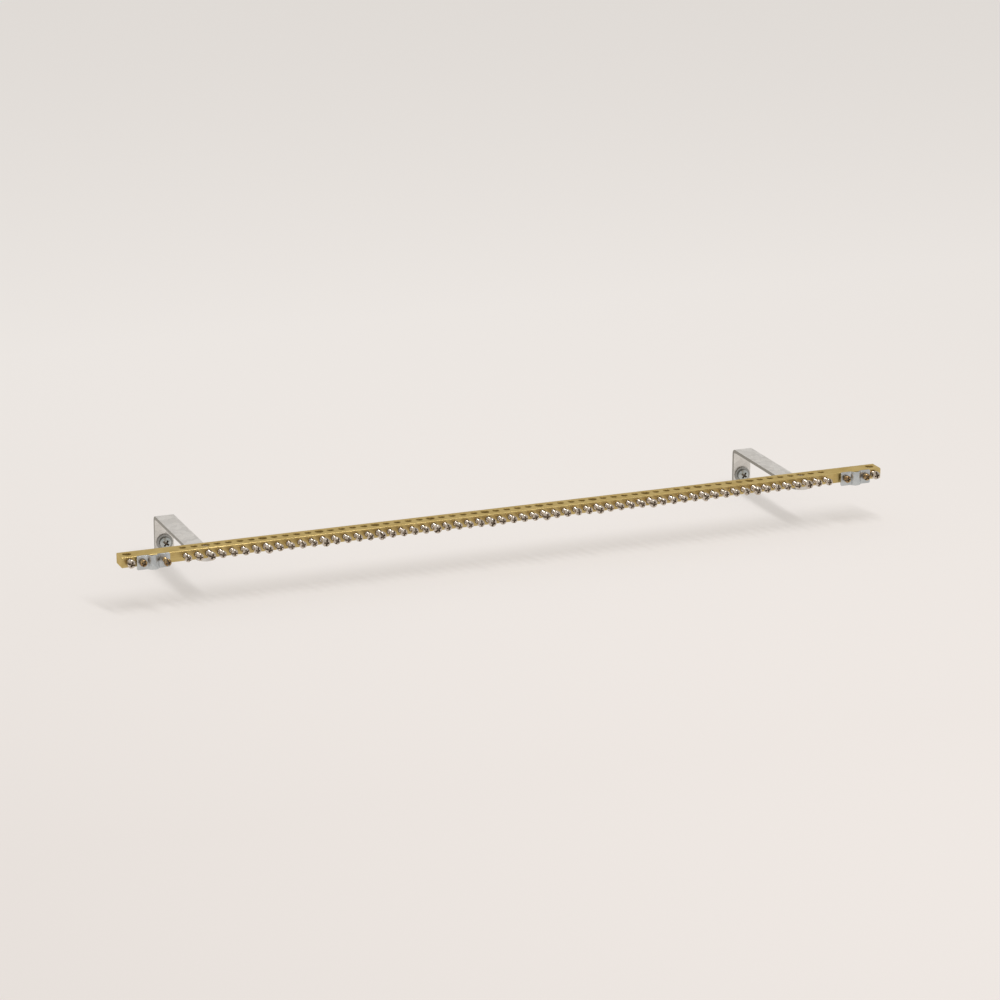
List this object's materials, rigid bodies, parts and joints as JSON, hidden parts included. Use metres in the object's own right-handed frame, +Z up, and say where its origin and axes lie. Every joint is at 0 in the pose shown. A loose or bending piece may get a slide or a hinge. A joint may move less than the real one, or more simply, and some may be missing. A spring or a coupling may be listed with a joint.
{
  "type": "earth terminal bar",
  "caption": "Brass bar with a row of screw terminals for earth conductors and a clamping saddle near each end, carried clear of the wall by two bent steel brackets.",
  "frame": {"origin": "midway between the two wall screws, on the plane of the brackets' backs", "axes": "+X along the bar, +Y from the bar towards the wall, +Z up; the terminal screws face -Y"},
  "size_m": [0.7, 0.1565, 0.0507],
  "materials": {
    "brass": "drawn, satin",
    "plated_steel": "bright plated",
    "galvanised_steel": "galvanised, satin",
    "yellow_zinc": "yellow passivated zinc"
  },
  "bodies": {
    "root": {"bracket_left": "galvanised_steel", "bracket_right": "galvanised_steel", "end_screw_left": "plated_steel", "end_screw_right": "plated_steel", "fixing_screw_left": "plated_steel", "fixing_screw_right": "plated_steel", "large_screw_set_01": "plated_steel", "large_screw_set_02": "plated_steel", "large_screw_set_03": "plated_steel", "large_screw_set_04": "plated_steel", "large_screw_set_05": "plated_steel", "large_screw_set_06": "plated_steel", "large_screw_set_07": "plated_steel", "large_screw_set_08": "plated_steel", "large_screw_set_09": "plated_steel", "large_screw_set_10": "plated_steel", "large_screw_set_11": "plated_steel", "large_screw_set_12": "plated_steel", "saddle_left": "galvanised_steel", "saddle_right": "galvanised_steel", "saddle_screw_left_inner": "yellow_zinc", "saddle_screw_left_outer": "yellow_zinc", "saddle_screw_right_inner": "yellow_zinc", "saddle_screw_right_outer": "yellow_zinc", "small_screws_set_01_02": "plated_steel", "small_screws_set_03_04": "plated_steel", "small_screws_set_05_06": "plated_steel", "small_screws_set_07_08": "plated_steel", "small_screws_set_09_10": "plated_steel", "small_screws_set_11_12": "plated_steel", "terminal_bar": "brass", "wall_screw_left": "plated_steel", "wall_screw_right": "plated_steel", "wall_washer_left": "plated_steel", "wall_washer_right": "plated_steel"}
  },
  "joints": []
}
